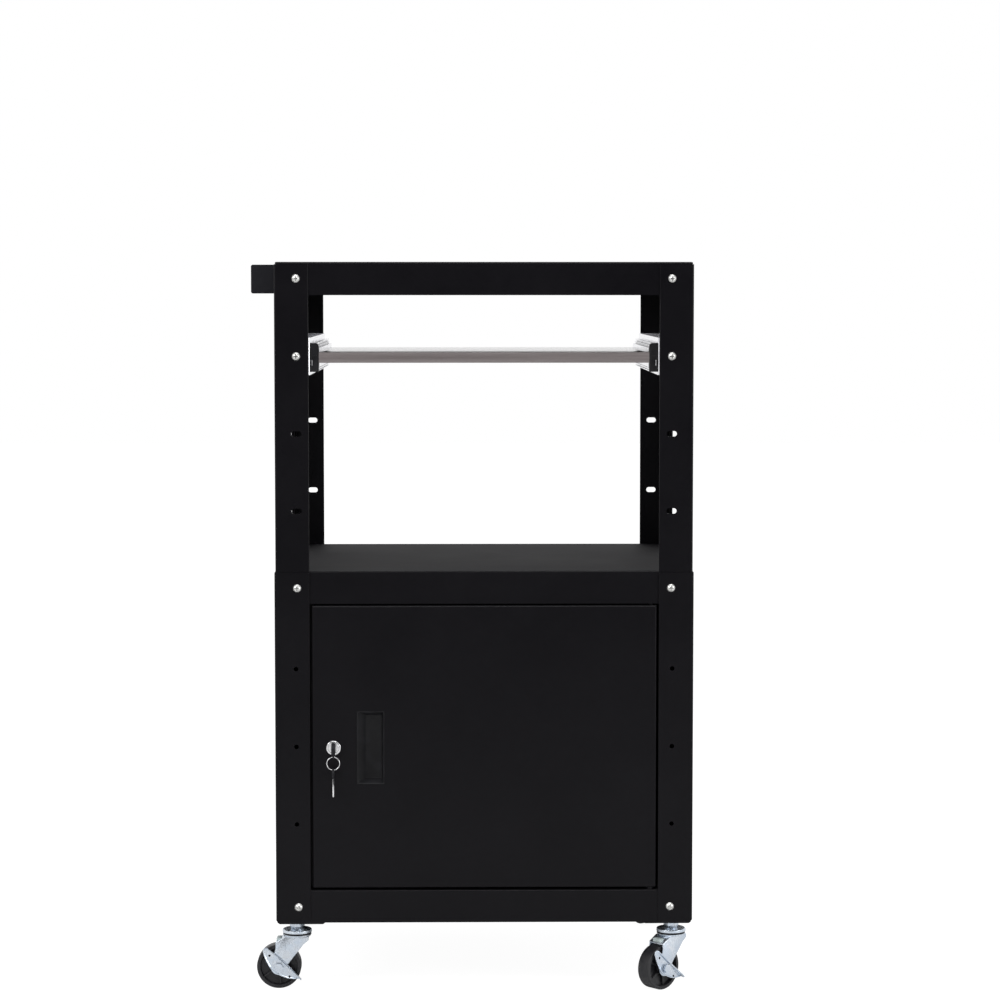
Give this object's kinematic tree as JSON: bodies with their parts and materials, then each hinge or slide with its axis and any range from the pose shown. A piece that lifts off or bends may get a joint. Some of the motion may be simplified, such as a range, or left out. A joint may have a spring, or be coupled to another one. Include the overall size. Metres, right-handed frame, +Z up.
{
  "type": "projector cart",
  "caption": "Rolling black steel cart with flanged shelves, pull-out tray, lockable cabinet, side power strip and braked swivel casters.",
  "frame": {"origin": "middle of the bounding box at the floor, under the four wheels", "axes": "+Z up, the front with the door faces -Y, +X to the right seen from the front"},
  "size_m": [0.645, 0.5022, 1.067],
  "materials": {
    "powder_black": "fine-textured black powder coat, satin",
    "strip_shell": "smooth dark grey enamel",
    "zinc_plate": "bright bluish zinc plate",
    "bright_nickel": "polished nickel plate",
    "moulded_black": "moulded black nylon, matt",
    "wheel_black": "hard black tread, faint mould lines",
    "grey_laminate": "grey laminated board, fine straight grain"
  },
  "bodies": {
    "cart_frame": {"top_shelf": "powder_black", "middle_shelf": "powder_black", "bottom_shelf": "powder_black", "upper_post_front_left": "powder_black", "upper_post_front_right": "powder_black", "upper_post_back_left": "powder_black", "upper_post_back_right": "powder_black", "lower_post_front_left": "powder_black", "lower_post_front_right": "powder_black", "lower_post_back_left": "powder_black", "lower_post_back_right": "powder_black", "side_panels": "powder_black", "back_panel": "powder_black", "corner_plates": "powder_black", "frame_bolts": "zinc_plate", "frame_nuts": "zinc_plate", "tray_brackets": "zinc_plate", "slide_outers": "zinc_plate", "slide_rivets": "zinc_plate", "door_pivots": "powder_black", "lock_strike": "powder_black", "strip_case": "strip_shell", "strip_end_caps": "strip_shell", "strip_sockets": "moulded_black", "strip_gland": "moulded_black", "strip_screws": "zinc_plate", "caster_stems": "zinc_plate"},
    "rocker": {"rocker_switch": "moulded_black"},
    "door": {"door_skin": "powder_black", "pull_cup": "moulded_black", "lock_barrel": "bright_nickel", "lock_nut": "zinc_plate"},
    "plug": {"lock_plug": "bright_nickel", "lock_cam": "zinc_plate", "cam_screw": "zinc_plate"},
    "key": {"key_blade": "bright_nickel", "key_bow": "moulded_black"},
    "ring": {"key_ring": "bright_nickel"},
    "spare_key": {"spare_key_blade": "bright_nickel", "spare_key_bow": "moulded_black"},
    "tray": {"tray_board": "grey_laminate", "slide_inners": "zinc_plate", "slide_front_caps": "moulded_black", "tray_screws": "zinc_plate"},
    "middle_slides": {"slide_middles": "zinc_plate", "slide_ball_cages": "zinc_plate"},
    "fork_front_left": {"caster_fork_front_left": "zinc_plate", "caster_axle_front_left": "zinc_plate"},
    "wheel_front_left": {"wheel_front_left": "wheel_black"},
    "brake_front_left": {"brake_lever_front_left": "zinc_plate"},
    "fork_front_right": {"caster_fork_front_right": "zinc_plate", "caster_axle_front_right": "zinc_plate"},
    "wheel_front_right": {"wheel_front_right": "wheel_black"},
    "brake_front_right": {"brake_lever_front_right": "zinc_plate"},
    "fork_back_left": {"caster_fork_back_left": "zinc_plate", "caster_axle_back_left": "zinc_plate"},
    "wheel_back_left": {"wheel_back_left": "wheel_black"},
    "fork_back_right": {"caster_fork_back_right": "zinc_plate", "caster_axle_back_right": "zinc_plate"},
    "wheel_back_right": {"wheel_back_right": "wheel_black"}
  },
  "joints": [
    {"name": "door_swing", "type": "hinge", "parent": "cart_frame", "child": "door", "pos_m": [0.2605, -0.22183, 0.3607], "axis": [0, 0, 1], "range_deg": [0, 100]},
    {"name": "lock_turn", "type": "hinge", "parent": "door", "child": "plug", "pos_m": [-0.2025, -0.22983, 0.36], "axis": [0, 1, 0], "range_deg": [0, 90]},
    {"name": "key_pull", "type": "slide", "parent": "plug", "child": "key", "axis": [0, -1, 0], "range_m": [0, 0.028]},
    {"name": "ring_swing", "type": "hinge", "parent": "key", "child": "ring", "pos_m": [-0.2025, -0.24263, 0.34825], "axis": [1, 0, 0], "range_deg": [-60, 4]},
    {"name": "spare_swing", "type": "hinge", "parent": "ring", "child": "spare_key", "pos_m": [-0.2025, -0.24263, 0.32955], "axis": [1, 0, 0], "range_deg": [-60, 4]},
    {"name": "tray_slide", "type": "slide", "parent": "cart_frame", "child": "tray", "axis": [0, -1, 0], "range_m": [0, 0.3]},
    {"name": "middle_slide", "type": "slide", "parent": "cart_frame", "child": "middle_slides", "axis": [0, -1, 0], "range_m": [0, 0.15]},
    {"name": "rocker_tilt", "type": "hinge", "parent": "cart_frame", "child": "rocker", "pos_m": [-0.316, -0.14083, 1.0424], "axis": [0, 0, 1], "range_deg": [-20, 0]},
    {"name": "swivel_front_left", "type": "hinge", "parent": "cart_frame", "child": "fork_front_left", "pos_m": [-0.2585, -0.20233, 0.0755], "axis": [0, 0, 1], "continuous": true},
    {"name": "spin_front_left", "type": "hinge", "parent": "fork_front_left", "child": "wheel_front_left", "pos_m": [-0.285, -0.20233, 0.0325], "axis": [0, 1, 0], "continuous": true},
    {"name": "brake_press_front_left", "type": "hinge", "parent": "fork_front_left", "child": "brake_front_left", "pos_m": [-0.285, -0.20233, 0.0325], "axis": [0, 1, 0], "range_deg": [0, 18]},
    {"name": "swivel_front_right", "type": "hinge", "parent": "cart_frame", "child": "fork_front_right", "pos_m": [0.2935, -0.20233, 0.0755], "axis": [0, 0, 1], "continuous": true},
    {"name": "spin_front_right", "type": "hinge", "parent": "fork_front_right", "child": "wheel_front_right", "pos_m": [0.27381, -0.22007, 0.0325], "axis": [-0.6691, 0.7431, 0], "continuous": true},
    {"name": "brake_press_front_right", "type": "hinge", "parent": "fork_front_right", "child": "brake_front_right", "pos_m": [0.27381, -0.22007, 0.0325], "axis": [-0.6691, 0.7431, 0], "range_deg": [0, 18]},
    {"name": "swivel_back_left", "type": "hinge", "parent": "cart_frame", "child": "fork_back_left", "pos_m": [-0.2585, 0.19667, 0.0755], "axis": [0, 0, 1], "continuous": true},
    {"name": "spin_back_left", "type": "hinge", "parent": "fork_back_left", "child": "wheel_back_left", "pos_m": [-0.27481, 0.21755, 0.0325], "axis": [0.788, 0.6157, 0], "continuous": true},
    {"name": "swivel_back_right", "type": "hinge", "parent": "cart_frame", "child": "fork_back_right", "pos_m": [0.2935, 0.19667, 0.0755], "axis": [0, 0, 1], "continuous": true},
    {"name": "spin_back_right", "type": "hinge", "parent": "fork_back_right", "child": "wheel_back_right", "pos_m": [0.27946, 0.21914, 0.0325], "axis": [0.848, 0.5299, 0], "continuous": true}
  ],
  "couplings": [
    {"joint": "middle_slide", "follows": "tray_slide", "ratio": 0.5}
  ]
}
